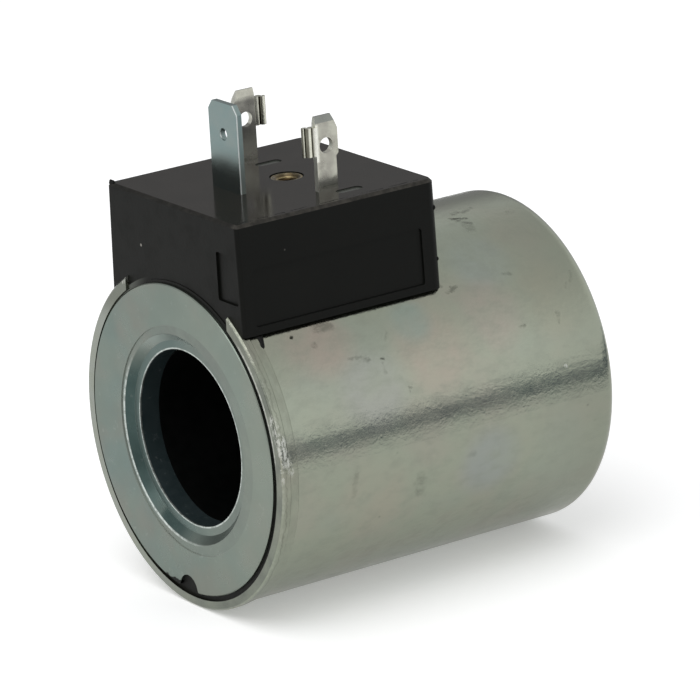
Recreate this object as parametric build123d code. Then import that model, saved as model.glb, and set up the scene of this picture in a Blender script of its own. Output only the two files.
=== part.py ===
from build123d import *
import math
import os

# A plug-in coil for a hydraulic solenoid valve, in millimetres.
# It is modelled with its front mounting face at Y = 0, the bore along Y, the connector head
# on top (+Z) and X across. At the end every piece moves back by half the length, so that the
# origin of the finished part is on the bore's axis, halfway along the steel can.

# Bore for the valve's armature tube
bore_r = 11.5
steel_bore_clearance = 0.1

# Steel can: a drawn cup, open at the front, with a slot in its top for the connector head
can_outer_r = 22.0
can_wall = 2.0
can_length = 52.8
can_rear_wall = 2.0
can_rear_edge_r = 1.9
slot_side_margin = 3.15
slot_rear_margin = 2.5
slot_corner_r = 3.0
slot_x = 0.4

# The can's front rim: two fine raised bands, left by the tool that swaged it, and the seat
# for the plate, bored slightly off centre
rim_band_height = 0.3
rim_band_length = 1.25
rim_edge_chamfer = 0.25
swage_band_height = 0.12
swage_band_length = 1.3
rim_seat_wall = 1.07
rim_seat_x = 0.08
rim_seat_z = -0.15

# Front plate: a thick steel washer that closes the magnetic path. The spot face and the seal
# cone are given by their width outside the bore.
plate_gap = 0.53
plate_thickness = 4.0
plate_offset_x = -0.35
plate_offset_z = -0.12
plate_edge_chamfer = 0.12
spot_face_width = 3.45
spot_face_x = 0.7
spot_face_depth = 0.12
seal_cone_outer_width = 2.2
seal_cone_inner_width = 1.15
seal_seat_depth = 1.1
gate_notch_r = 2.0
gate_notch_out = 0.05
gate_notch_angle = 267.5
gate_notch_mouth_r = 0.5

# Rear yoke ring inside the bottom of the can
yoke_thickness = 2.0
yoke_fit = 0.05

# Bobbin
bobbin_wall = 1.1
flange_thickness = 1.8
flange_gap = 0.6
flange_rib_count = 6
flange_rib_width = 1.2
flange_rib_height = 0.3

# Winding and its tape wrap, a little lower than the bobbin's flanges
flange_lip = 1.1
tape_thickness = 0.3
tape_margin = 1.8

# Connector head, moulded in one shot with the filling of the can. Its side walls lean in
# towards the top, and its lower edge stops a little above the can's round wall.
head_half_width = 14.65
head_draft = 2.0
head_front_gap = 0.5
head_length = 30.5
head_height = 9.05
head_skirt = 14.35
head_front_edge_r = 0.5
head_rear_edge_r = 1.3
head_top_chamfer = 0.4
gap_recess = 0.4

# Blank moulded panels on the head, one on its right side and one on its front
side_panel_start = 2.4
side_panel_length = 25.8
side_panel_drop = 5.95
side_panel_height = 7.4
side_panel_depth = 0.25
front_panel_margin = 0.45
front_panel_width = 4.4
front_panel_drop = 4.15
front_panel_height = 6.3
front_panel_depth = 0.3
panel_corner_r = 0.35

# Shallow oval pads in the head's top, one to the right of each power contact
pad_length = 3.8
pad_width = 1.5
pad_depth = 0.15
pad_right = 2.0
pad_back = 2.0

# Connector pin layout: power contacts left and right of a central screw, earth in front
contact_pitch = 18.0
earth_distance = 8.7
screw_y = 18.2
blade_thickness = 0.8

# Power contacts
contact_height = 9.75
contact_width = 3.3
contact_back = 1.8
contact_cut_width = 0.8
contact_cut_height = 1.9
contact_neck_height = 4.25
contact_neck_inset = 0.35
contact_hole_r = 1.0
contact_hole_height = 5.85
contact_tip_inset = 0.27
contact_tip_height = 0.9
shoulder_width = 4.4
shoulder_height = 1.0
tail_width = 1.2
tail_drop = 1.9

# Rolled spring wing on one edge of each power contact
wing_thickness = 0.36
wing_height = 3.75
wing_base_height = 4.7
wing_wave_pitch = 0.85
wing_wave_height = 0.36
wing_wave_count = 2
wing_lean = 15.0

# Earth terminal: one bent strip from the plate's back up to the plug
earth_width = 6.3
earth_height = 11.4
earth_hole_r = 0.8
earth_hole_height = 7.3
earth_corner_width = 0.9
earth_corner_height = 1.15
earth_leg_rise = 0.9
earth_jog_rise = 1.4
earth_bend_r = 0.5
earth_relief = 0.15

# Brass threaded insert for the plug's M3 screw
insert_r = 2.05
insert_rise = 0.9
insert_top_recess = 0.12
insert_hole_r = 1.25
insert_hole_depth = 6.7
drill_tip_angle = 118.0
insert_mouth_r = 1.72
insert_groove_r = 1.75
insert_groove_width = 1.0
insert_ring_gap = 0.16
insert_ring_depth = 0.35

# Terminal carrier: a small bridge that stands on the tape and holds the metal parts
carrier_side_gap = 0.3
carrier_thickness = 2.6
carrier_front_margin = 1.6
carrier_rear_margin = 6.8
carrier_leg = 3.0
carrier_corner_r = 0.8
lead_slot_width = 1.5

# How far a cutter runs on past the face that it opens
overrun = 1.0

# Winding leads
wire_r = 0.25
lead_start_depth = 3.7
lead_flange_gap = 0.9
lead_drop = 1.0
lead_bend = 1.2
sleeve_r = 0.55
sleeve_front_gap = 1.9
sleeve_rear_gap = 3.0
solder_r = 0.9
solder_edge_bevel = 0.4

# Radii worked out from the sizes above
steel_bore_r = bore_r + steel_bore_clearance
spot_face_r = steel_bore_r + spot_face_width
seal_cone_outer_r = steel_bore_r + seal_cone_outer_width
seal_cone_inner_r = steel_bore_r + seal_cone_inner_width
bobbin_tube_r = bore_r + bobbin_wall
can_inner_r = can_outer_r - can_wall
rim_outer_r = can_outer_r + rim_band_height
swage_outer_r = can_outer_r + swage_band_height
rim_seat_r = can_outer_r - rim_seat_wall
plate_r = rim_seat_r - plate_gap
gate_notch_centre_r = plate_r + gate_notch_out
flange_r = can_inner_r - flange_gap
winding_r = flange_r - flange_lip
tape_r = winding_r + tape_thickness

# Places along the bore
bobbin_end = can_length - can_rear_wall
yoke_front = bobbin_end - yoke_thickness
winding_start = plate_thickness + flange_thickness
winding_end = yoke_front - flange_thickness
head_rear = head_front_gap + head_length
slot_length = head_rear - slot_rear_margin
earth_y = screw_y - earth_distance
carrier_front = earth_y - carrier_front_margin
carrier_rear = screw_y + carrier_rear_margin
lead_y = winding_start + lead_flange_gap
sleeve_start = lead_y + sleeve_front_gap
sleeve_end = screw_y - sleeve_rear_gap

# Heights above the bore's axis, and places across
head_top = can_outer_r + head_height
head_bottom = head_top - head_skirt
head_bottom_half_width = head_half_width + head_skirt * math.tan(math.radians(head_draft))
carrier_bottom = can_outer_r
carrier_top = carrier_bottom + carrier_thickness
tail_bottom = carrier_bottom - tail_drop
lead_height = carrier_bottom - lead_drop
insert_bottom = carrier_bottom + insert_rise
earth_leg_bottom = bobbin_tube_r + earth_leg_rise
earth_jog_height = carrier_top + earth_jog_rise
front_panel_bottom = head_top - front_panel_drop - front_panel_height
slot_half_width = head_half_width - slot_side_margin
carrier_half_width = slot_half_width - slot_x - carrier_side_gap
front_panel_left = head_half_width - front_panel_margin - front_panel_width
contact_x = contact_pitch / 2


def rod_y(radius, start, end):
    """A cylinder along the bore's axis from one Y to another."""
    return Pos(0, (start + end) / 2, 0) * Rot(90, 0, 0) * Cylinder(radius, end - start)


def tube_y(outer, inner, start, end):
    """A plain tube round the bore's axis."""
    return rod_y(outer, start, end) - rod_y(inner, start, end)


def brick(x_low, x_high, y_low, y_high, z_low, z_high):
    """A box given by its limits."""
    centre = Pos((x_low + x_high) / 2, (y_low + y_high) / 2, (z_low + z_high) / 2)
    return centre * Box(x_high - x_low, y_high - y_low, z_high - z_low)


def turned(points):
    """A solid turned round the bore's axis from a closed outline of (radius, Y) points."""
    outline = Polyline(*points, close=True)
    return revolve(make_face(outline), Axis.Y)


def slot_cutter(half_width, end, low, high):
    """The can's top slot as a solid: open at the front, with rounded rear corners."""
    cutter = brick(slot_x - half_width, slot_x + half_width, -overrun, end, low, high)
    rear_edges = cutter.edges().filter_by(Axis.Z).sort_by(Axis.Y)[-2:]
    return fillet(rear_edges, slot_corner_r)


def rim_seat(start, end):
    """A disc as wide as the plate's seat in the rim, from one Y to another."""
    return Pos(rim_seat_x, 0, rim_seat_z) * rod_y(rim_seat_r, start, end)


def can_outside():
    """The can's outer form as a full solid: swaged front bands, wall and rounded rear edge."""
    swage_end = rim_band_length + swage_band_length
    form = turned(
        [
            (0, 0),
            (rim_outer_r - rim_edge_chamfer, 0),
            (rim_outer_r, rim_edge_chamfer),
            (rim_outer_r, rim_band_length),
            (swage_outer_r, rim_band_length + rim_outer_r - swage_outer_r),
            (swage_outer_r, swage_end),
            (can_outer_r, swage_end + swage_outer_r - can_outer_r),
            (can_outer_r, can_length),
            (0, can_length),
        ]
    )
    rear_edge = form.edges().filter_by(GeomType.CIRCLE).sort_by(Axis.Y)[-1:]
    return fillet(rear_edge, can_rear_edge_r)


def make_steel_can():
    """The drawn cup, with the seat for the plate, the hole in its bottom and the top slot."""
    can = can_outside() - rod_y(can_inner_r, -overrun, bobbin_end)
    can -= rim_seat(-overrun, plate_thickness)
    can -= rod_y(steel_bore_r, bobbin_end - overrun, can_length + overrun)
    return can - slot_cutter(slot_half_width, slot_length, bore_r, rim_outer_r + overrun)


def gate_notch(radius, start, end):
    """A round bite at the plate's lower edge, where the moulding runs through."""
    angle = math.radians(gate_notch_angle)
    x = gate_notch_centre_r * math.cos(angle)
    z = gate_notch_centre_r * math.sin(angle)
    return Pos(x, 0, z) * rod_y(radius, start, end)


def make_end_plate():
    """The front washer: a seal cone at the bore, a spot face round it and the gate notch."""
    disc = Pos(plate_offset_x, 0, plate_offset_z) * rod_y(plate_r, 0, plate_thickness)
    front_edge = disc.edges().filter_by(GeomType.CIRCLE).sort_by(Axis.Y)[:1]
    disc = chamfer(front_edge, plate_edge_chamfer)
    notch = gate_notch(gate_notch_r, 0, plate_thickness)
    disc = disc - notch
    notch_corners = disc.edges().filter_by(Axis.Y).sort_by(Axis.Z)[:2]
    disc = fillet(notch_corners, gate_notch_mouth_r)
    disc -= Pos(spot_face_x, 0, 0) * rod_y(spot_face_r, -overrun, spot_face_depth)
    seat = turned(
        [
            (0, -overrun),
            (seal_cone_outer_r, -overrun),
            (seal_cone_outer_r, spot_face_depth),
            (seal_cone_inner_r, seal_seat_depth),
            (steel_bore_r, seal_seat_depth),
            (steel_bore_r, plate_thickness + overrun),
            (0, plate_thickness + overrun),
        ]
    )
    return disc - seat


def make_yoke_ring():
    """A flat ring in the can's bottom that carries the flux back towards the bore."""
    return tube_y(can_inner_r - yoke_fit, bobbin_tube_r + yoke_fit, yoke_front, bobbin_end)


def earth_foot_relief():
    """The room that the earth terminal's foot needs in the bobbin's front flange."""
    half = earth_width / 2 + earth_relief
    back = plate_thickness + blade_thickness + earth_relief
    bottom = earth_leg_bottom - earth_relief
    return brick(-half, half, plate_thickness, back, bottom, flange_r + overrun)


def make_bobbin():
    """The insulating former: a tube with two flanges, ribbed on their outer faces' rims."""
    bobbin = rod_y(bobbin_tube_r, plate_thickness, bobbin_end)
    bobbin += rod_y(flange_r, plate_thickness, winding_start)
    bobbin += rod_y(flange_r, winding_end, yoke_front)
    bobbin -= gate_notch(gate_notch_r, plate_thickness, winding_start)
    bobbin -= earth_foot_relief()
    rib = brick(
        -flange_rib_width / 2,
        flange_rib_width / 2,
        winding_end,
        yoke_front,
        flange_r - flange_rib_width,
        flange_r + flange_rib_height,
    )
    for step in range(flange_rib_count):
        bobbin += Rot(0, 360 * step / flange_rib_count, 0) * rib
    return bobbin - rod_y(bore_r, plate_thickness, bobbin_end)


def make_winding():
    """The wound copper, as one body."""
    return tube_y(winding_r, bobbin_tube_r, winding_start, winding_end)


def make_tape():
    """Insulating tape round the winding, short of the front flange where the leads come out."""
    return tube_y(tape_r, winding_r, winding_start + tape_margin, winding_end)


def corner_cutters(half_width, top, inset, height):
    """Two wedges along Y that take the upper corners off a strip standing at X = 0."""
    cutters = []
    for side in (-1, 1):
        corner = Polyline(
            (side * (half_width - inset), top),
            (side * half_width, top - height),
            (side * (half_width + overrun), top - height),
            (side * (half_width + overrun), top + overrun),
            (side * (half_width - inset), top + overrun),
            close=True,
        )
        cutters.append(extrude(Plane.XZ * make_face(corner), contact_width, both=True))
    return cutters[0] + cutters[1]


def spring_wing():
    """The corrugated wing on a contact's edge, rolled from the same strip, before placing."""
    half_wave = wing_wave_pitch / 2
    centre_line = Curve()
    for step in range(2 * wing_wave_count):
        side = 1 if step % 2 == 0 else -1
        centre_line += ThreePointArc(
            (0, -step * half_wave),
            (side * wing_wave_height, -(step + 0.5) * half_wave),
            (0, -(step + 1) * half_wave),
        )
    outline = offset(centre_line, wing_thickness / 2, side=Side.BOTH)
    return Rot(0, 0, -wing_lean) * extrude(make_face(outline), wing_height)


def make_contact():
    """The right-hand power contact: blade, neck, shoulder, tail and spring wing."""
    x_low = contact_x - blade_thickness / 2
    x_high = contact_x + blade_thickness / 2
    y_back = screw_y + contact_back
    y_front = y_back - contact_width
    z_top = head_top + contact_height
    z_neck = head_top + contact_neck_height
    neck_back = y_back - contact_neck_inset
    outline = Polyline(
        (y_front, z_top),
        (y_back - contact_cut_width, z_top),
        (y_back, z_top - contact_cut_height),
        (y_back, z_neck + contact_neck_inset),
        (neck_back, z_neck),
        (neck_back, carrier_top + shoulder_height),
        (screw_y + shoulder_width / 2, carrier_top + shoulder_height),
        (screw_y + shoulder_width / 2, carrier_top),
        (neck_back, carrier_top),
        (neck_back, carrier_bottom),
        (screw_y + tail_width / 2, carrier_bottom),
        (screw_y + tail_width / 2, tail_bottom),
        (screw_y - tail_width / 2, tail_bottom),
        (screw_y - tail_width / 2, carrier_bottom),
        (y_front, carrier_bottom),
        (y_front, carrier_top),
        (screw_y - shoulder_width / 2, carrier_top),
        (screw_y - shoulder_width / 2, carrier_top + shoulder_height),
        (y_front, carrier_top + shoulder_height),
        close=True,
    )
    face = Plane.YZ.offset(x_low) * make_face(outline)
    blade = extrude(face, blade_thickness)
    tip = corner_cutters(blade_thickness / 2, z_top, contact_tip_inset, contact_tip_height)
    blade -= Pos(contact_x, screw_y, 0) * tip
    hole = Pos(contact_x, screw_y, head_top + contact_hole_height) * Rot(0, 90, 0)
    blade -= hole * Cylinder(contact_hole_r, 2 * blade_thickness)
    wing_x = x_high - wing_thickness / 2
    wing = Pos(wing_x, y_front + wing_thickness / 2, head_top + wing_base_height) * spring_wing()
    blade_core = brick(x_low, x_high, y_front, y_back, z_neck, z_top)
    return blade + (wing - blade_core)


def make_earth_terminal():
    """A strip bent twice: foot behind the plate, jog through the head, blade for the plug."""
    top = head_top + earth_height
    foot_y = plate_thickness + blade_thickness / 2
    jog_z = earth_jog_height - blade_thickness / 2
    path = FilletPolyline(
        (0, foot_y, earth_leg_bottom),
        (0, foot_y, jog_z),
        (0, earth_y, jog_z),
        (0, earth_y, top),
        radius=earth_bend_r + blade_thickness / 2,
    )
    start = Plane(origin=path @ 0, x_dir=(1, 0, 0), z_dir=path % 0)
    strip = sweep(start * Rectangle(earth_width, blade_thickness), path)
    corners = corner_cutters(earth_width / 2, top, earth_corner_width, earth_corner_height)
    strip -= Pos(0, earth_y, 0) * corners
    hole = Pos(0, earth_y, head_top + earth_hole_height) * Rot(90, 0, 0)
    return strip - hole * Cylinder(earth_hole_r, 2 * blade_thickness)


def make_insert():
    """The brass insert: grooved outside, blind threaded hole with a countersunk mouth."""
    top = head_top - insert_top_recess
    middle = (insert_bottom + top) / 2
    groove_half = insert_groove_width / 2
    mouth_depth = insert_mouth_r - insert_hole_r
    hole_bottom = top - insert_hole_depth
    drill_tip_depth = insert_hole_r / math.tan(math.radians(drill_tip_angle / 2))
    outline = Polyline(
        (0, insert_bottom),
        (insert_r, insert_bottom),
        (insert_r, middle - groove_half),
        (insert_groove_r, middle - groove_half),
        (insert_groove_r, middle + groove_half),
        (insert_r, middle + groove_half),
        (insert_r, top),
        (insert_mouth_r, top),
        (insert_hole_r, top - mouth_depth),
        (insert_hole_r, hole_bottom),
        (0, hole_bottom - drill_tip_depth),
        close=True,
    )
    face = Plane.XZ * make_face(outline)
    return Pos(0, screw_y, 0) * revolve(face, Axis.Z)


def make_lead():
    """The right-hand winding lead: up from the winding's end, then back to the contact."""
    path = Polyline(
        (contact_x, lead_y, winding_r - lead_start_depth),
        (contact_x, lead_y, lead_height - lead_bend),
        (contact_x, lead_y + lead_bend, lead_height),
        (contact_x, screw_y - tail_width / 2, lead_height),
    )
    section = Plane(origin=path @ 0, z_dir=path % 0) * Circle(wire_r)
    wire = sweep(section, path, transition=Transition.RIGHT)
    return wire - rod_y(winding_r, winding_start, winding_end)


def make_sleeve():
    """A short insulating sleeve on the right-hand lead."""
    place = Pos(contact_x, 0, lead_height)
    return place * tube_y(sleeve_r, wire_r, sleeve_start, sleeve_end)


def make_solder(contact, lead):
    """A bead of solder round the contact's tail and the end of the lead."""
    middle = screw_y - tail_width / 2
    bead = rod_y(solder_r, middle - solder_r, middle + solder_r)
    bead = chamfer(bead.edges().filter_by(GeomType.CIRCLE), solder_edge_bevel)
    return Pos(contact_x, 0, lead_height) * bead - contact - lead


def insert_pocket():
    """The room that the insert takes up in the plastic, its threaded hole included."""
    height = head_top - insert_bottom
    return Pos(0, screw_y, insert_bottom + height / 2) * Cylinder(insert_r, height)


def make_carrier(metal_parts):
    """A moulded bridge on the tape: two legs with lead slots, and a plate with the sockets."""
    carrier = brick(
        -carrier_half_width,
        carrier_half_width,
        carrier_front,
        carrier_rear,
        bore_r,
        carrier_top,
    )
    carrier = fillet(carrier.edges().filter_by(Axis.Z), carrier_corner_r)
    carrier -= brick(
        -carrier_half_width - overrun,
        carrier_half_width + overrun,
        carrier_front + carrier_leg,
        carrier_rear - carrier_leg,
        0,
        carrier_bottom,
    )
    carrier -= rod_y(tape_r, 0, can_length)
    for side in (-1, 1):
        slot_x = side * contact_x
        carrier -= brick(
            slot_x - lead_slot_width / 2,
            slot_x + lead_slot_width / 2,
            carrier_front - overrun,
            carrier_front + carrier_leg,
            0,
            carrier_bottom,
        )
    for part in metal_parts:
        carrier -= part
    return carrier - insert_pocket()


def head_block():
    """The connector head's outer form, before the can's round is taken out of it."""
    section = Polyline(
        (-head_bottom_half_width, head_bottom),
        (head_bottom_half_width, head_bottom),
        (head_half_width, head_top),
        (-head_half_width, head_top),
        close=True,
    )
    block = extrude(Plane.XZ.offset(-head_front_gap) * make_face(section), -head_length)
    front_edges = block.faces().sort_by(Axis.Y)[0].edges().filter_by(Axis.X, reverse=True)
    block = fillet(front_edges, head_front_edge_r)
    rear_edges = block.faces().sort_by(Axis.Y)[-1].edges().filter_by(Axis.X, reverse=True)
    block = fillet(rear_edges, head_rear_edge_r)
    top_edges = block.edges().group_by(Axis.Z)[-1]
    return chamfer(top_edges, head_top_chamfer)


def blank_panels():
    """Cutters for the two plain sunken panels on the head."""
    side_wall = Plane(
        origin=(head_half_width, side_panel_start, head_top),
        x_dir=(0, 1, 0),
        z_dir=Vector(1, 0, 0).rotate(Axis.Y, -head_draft),
    )
    middle = Pos(side_panel_length / 2, -side_panel_drop - side_panel_height / 2)
    panel = middle * RectangleRounded(side_panel_length, side_panel_height, panel_corner_r)
    side = extrude(side_wall.offset(-side_panel_depth) * panel, side_panel_depth + overrun)
    front = brick(
        front_panel_left,
        front_panel_left + front_panel_width,
        head_front_gap - overrun,
        head_front_gap + front_panel_depth,
        front_panel_bottom,
        front_panel_bottom + front_panel_height,
    )
    front = fillet(front.edges().filter_by(Axis.Y), panel_corner_r)
    return side + front


def oval_pads():
    """Cutters for the shallow oval pads beside the two power contacts."""
    pads = None
    for side in (-1, 1):
        place = Pos(side * contact_x + pad_right, screw_y + pad_back, head_top - pad_depth)
        oval = place * Rot(0, 0, 90) * extrude(SlotOverall(pad_length, pad_width), overrun)
        pads = oval if pads is None else pads + oval
    return pads


def make_encapsulation(inner_parts):
    """Head, filling of the can, and the skin round the plate, moulded as one piece."""
    body = tube_y(can_inner_r, bobbin_tube_r, plate_thickness, yoke_front)
    skin = rim_seat(gap_recess, plate_thickness)
    body += skin - rod_y(seal_cone_outer_r, 0, plate_thickness)
    neck = slot_cutter(slot_half_width, slot_length, seal_cone_outer_r, rim_outer_r)
    in_front = brick(-can_outer_r, can_outer_r, -2 * overrun, head_front_gap, 0, 2 * can_outer_r)
    body += neck - in_front
    body += head_block() - can_outside()
    body -= blank_panels()
    body -= oval_pads()
    ring_top = Pos(0, screw_y, head_top - insert_ring_depth / 2)
    body -= ring_top * Cylinder(insert_r + insert_ring_gap, insert_ring_depth)
    body -= insert_pocket()
    for part in inner_parts:
        body -= part
    return body


def half_turn(part):
    """The same piece turned half round the connector's centre, for the left-hand contact."""
    return Pos(0, screw_y, 0) * Rot(0, 0, 180) * Pos(0, -screw_y, 0) * part


def mirrored(part):
    """The same piece on the other side of the coil."""
    return mirror(part, about=Plane.YZ)


def build():
    """All pieces, by name, with the front face at Y = 0."""
    parts = {}
    parts["steel_can"] = make_steel_can()
    parts["end_plate"] = make_end_plate()
    parts["rear_yoke_ring"] = make_yoke_ring()
    parts["bobbin"] = make_bobbin()
    parts["winding"] = make_winding()
    parts["winding_tape"] = make_tape()
    parts["contact_1"] = make_contact()
    parts["contact_2"] = half_turn(parts["contact_1"])
    parts["earth_terminal"] = make_earth_terminal()
    parts["threaded_insert"] = make_insert()
    parts["start_lead"] = make_lead()
    parts["finish_lead"] = mirrored(parts["start_lead"])
    parts["start_sleeve"] = make_sleeve()
    parts["finish_sleeve"] = mirrored(parts["start_sleeve"])
    parts["solder_joint_1"] = make_solder(parts["contact_1"], parts["start_lead"])
    parts["solder_joint_2"] = mirrored(parts["solder_joint_1"])
    sockets = [parts[name] for name in ("contact_1", "contact_2", "earth_terminal")]
    parts["terminal_carrier"] = make_carrier(sockets)
    inner = [part for name, part in parts.items() if name != "steel_can"]
    parts["encapsulation"] = make_encapsulation(inner)
    return parts


os.makedirs("parts", exist_ok=True)
to_origin = Pos(0, -can_length / 2, 0)
for name, part in build().items():
    export_step(to_origin * part, f"parts/{name}.step")
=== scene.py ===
import math
from functools import cached_property

import bmesh
import bpy
from mathutils import Matrix, Vector


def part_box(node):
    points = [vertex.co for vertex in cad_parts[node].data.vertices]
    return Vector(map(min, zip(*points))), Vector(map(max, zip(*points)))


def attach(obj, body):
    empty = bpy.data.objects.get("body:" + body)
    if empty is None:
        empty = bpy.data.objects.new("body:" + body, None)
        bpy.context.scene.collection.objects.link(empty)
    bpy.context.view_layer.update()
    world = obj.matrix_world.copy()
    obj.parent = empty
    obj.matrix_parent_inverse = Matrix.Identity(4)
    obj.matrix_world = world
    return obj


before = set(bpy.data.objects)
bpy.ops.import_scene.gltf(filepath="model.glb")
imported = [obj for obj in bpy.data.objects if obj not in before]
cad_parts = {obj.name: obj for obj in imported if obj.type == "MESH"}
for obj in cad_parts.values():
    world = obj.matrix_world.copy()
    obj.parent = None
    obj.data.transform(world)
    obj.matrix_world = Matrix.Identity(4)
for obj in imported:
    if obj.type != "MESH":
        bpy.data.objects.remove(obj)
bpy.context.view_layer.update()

MM = 0.001
X_AXIS, Y_AXIS, Z_AXIS = range(3)
WHITE = (1.0, 1.0, 1.0, 1.0)

# A mix node's sockets: its two values and its result, for numbers and for colours
NUMBER_A, NUMBER_B, NUMBER_OUT = 2, 3, 0
COLOUR_A, COLOUR_B, COLOUR_OUT = 6, 7, 2

# The side that the bright wall stands on, seen from the part
wall_side = Vector((0.84, 0.54, 0.0)).normalized()

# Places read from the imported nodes
can_low, can_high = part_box("steel_can")
insert_low, insert_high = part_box("threaded_insert")
front_y = can_low[1]
rear_y = can_high[1]
rim_r = can_high[0]
floor_z = can_low[2]
head_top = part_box("encapsulation")[1][2]
screw_x = (insert_low[0] + insert_high[0]) / 2
screw_y = (insert_low[1] + insert_high[1]) / 2
insert_r = insert_high[0] - screw_x
insert_top = insert_high[2]

# Sizes that the dressing shares with the solids: the can and its rim
can_r = 22.0 * MM
rim_inner_r = 20.93 * MM
swage_band_end = 2.67 * MM

# The connector head
head_half_width = 14.65 * MM
head_front = front_y + 0.5 * MM
head_rear = head_front + 30.5 * MM
head_draft = math.radians(2.0)
pad_right = 2.0 * MM
pad_back = 2.0 * MM
pad_floor = head_top - 0.15 * MM

# The front plate and its seal seat, and the ring of moulding round it
spot_face_r = 15.05 * MM
spot_face_x = 0.7 * MM
spot_face_depth = 0.12 * MM
seal_cone_outer_r = 13.8 * MM
seal_cone_inner_r = 12.75 * MM
seal_seat_depth = 1.1 * MM
steel_bore_r = 11.6 * MM
moulding_ring_inner_r = 20.2 * MM
moulding_ring_outer_r = 21.2 * MM

# The smear of residue on the plate, from one angle about the bore to another
smear_start = math.radians(-107.5)
smear_end = math.radians(-97.5)

# The contacts and the earth blade
contact_x = 9.0 * MM
contact_top = head_top + 9.75 * MM
wing_low = contact_top - 5.9 * MM
wing_high = contact_top - 1.0 * MM
roll_edge_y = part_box("contact_1")[1][1] - 3.95 * MM
left_wing_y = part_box("contact_2")[0][1] + 3.95 * MM
earth_front_y = -17.3 * MM

# The insert's thread
thread_core_r = 1.25 * MM
thread_pitch = 0.5 * MM
thread_height = 0.2 * MM
thread_turns = 10
thread_top = head_top - 0.62 * MM


def srgb(red, green, blue):
    """A colour as the eye reads it, 0 to 255, as the shader wants it."""
    channels = []
    for value in (red, green, blue):
        share = value / 255
        channels.append(share / 12.92 if share <= 0.04045 else ((share + 0.055) / 1.055) ** 2.4)
    return (*channels, 1.0)


class Nodes:
    """A node tree, with short names for the steps that the materials and the world are made of."""

    def __init__(self, tree):
        self.tree = tree

    def add(self, kind):
        """A new node of one kind."""
        return self.tree.nodes.new("ShaderNode" + kind)

    def link(self, source, target):
        """Joins two sockets, or sets the target if the source is a plain value."""
        if isinstance(source, bpy.types.NodeSocket):
            self.tree.links.new(source, target)
        else:
            target.default_value = source

    def math(self, operation, a, b=0.0):
        """One arithmetic step on numbers or sockets."""
        node = self.add("Math")
        node.operation = operation
        self.link(a, node.inputs[0])
        self.link(b, node.inputs[1])
        return node.outputs[0]

    def chain(self, operation, first, others):
        """The same step again and again, from left to right."""
        for other in others:
            first = self.math(operation, first, other)
        return first

    def times(self, first, *others):
        """The product of all the numbers."""
        return self.chain("MULTIPLY", first, others)

    def plus(self, first, *others):
        """The sum of all the numbers."""
        return self.chain("ADD", first, others)

    def most(self, first, *others):
        """The largest of the numbers."""
        return self.chain("MAXIMUM", first, others)

    def minus(self, a, b):
        """What is left of a without b."""
        return self.math("SUBTRACT", a, b)

    def length(self, a, b):
        """The distance covered by going a along one axis and b along another."""
        return self.math("SQRT", self.plus(self.times(a, a), self.times(b, b)))

    def ridges(self, value, pitch):
        """Even ridges from -1 to 1, one in every pitch."""
        return self.math("SINE", self.times(value, 2 * math.pi / pitch))

    def vector(self, operation, a, b):
        """One step on two vectors."""
        node = self.add("VectorMath")
        node.operation = operation
        self.link(a, node.inputs[0])
        self.link(b, node.inputs[1])
        return node.outputs["Value" if operation in ("DOT_PRODUCT", "DISTANCE") else "Vector"]

    def axes(self, vector):
        """The three parts of a vector."""
        node = self.add("SeparateXYZ")
        self.link(vector, node.inputs[0])
        return node.outputs

    def step(self, value, low, high, low_out=0.0, high_out=1.0):
        """A smooth step between two limits."""
        node = self.add("MapRange")
        node.interpolation_type = "SMOOTHSTEP"
        settings = {"From Min": low, "From Max": high, "To Min": low_out, "To Max": high_out}
        for name, setting in settings.items():
            node.inputs[name].default_value = setting
        self.link(value, node.inputs["Value"])
        return node.outputs["Result"]

    def band(self, value, low, high, soft):
        """1 between two limits and 0 outside, with soft ends."""
        return self.times(self.step(value, low - soft, low + soft),
                          self.step(value, high - soft, high + soft, 1.0, 0.0))

    def mix(self, share, a, b):
        """A blend of two colours."""
        node = self.add("Mix")
        node.data_type = "RGBA"
        self.link(share, node.inputs["Factor"])
        self.link(a, node.inputs[COLOUR_A])
        self.link(b, node.inputs[COLOUR_B])
        return node.outputs[COLOUR_OUT]

    def blend(self, share, a, b):
        """A blend of two numbers."""
        node = self.add("Mix")
        self.link(share, node.inputs["Factor"])
        self.link(a, node.inputs[NUMBER_A])
        self.link(b, node.inputs[NUMBER_B])
        return node.outputs[NUMBER_OUT]

    def light_path(self):
        """1 for rays that show the background, and 1 for those that come from the camera itself."""
        rays = self.add("LightPath").outputs
        shiny = self.most(rays["Is Glossy Ray"], rays["Is Transmission Ray"])
        from_camera = rays["Is Camera Ray"]
        return self.most(from_camera, shiny), from_camera


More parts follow.
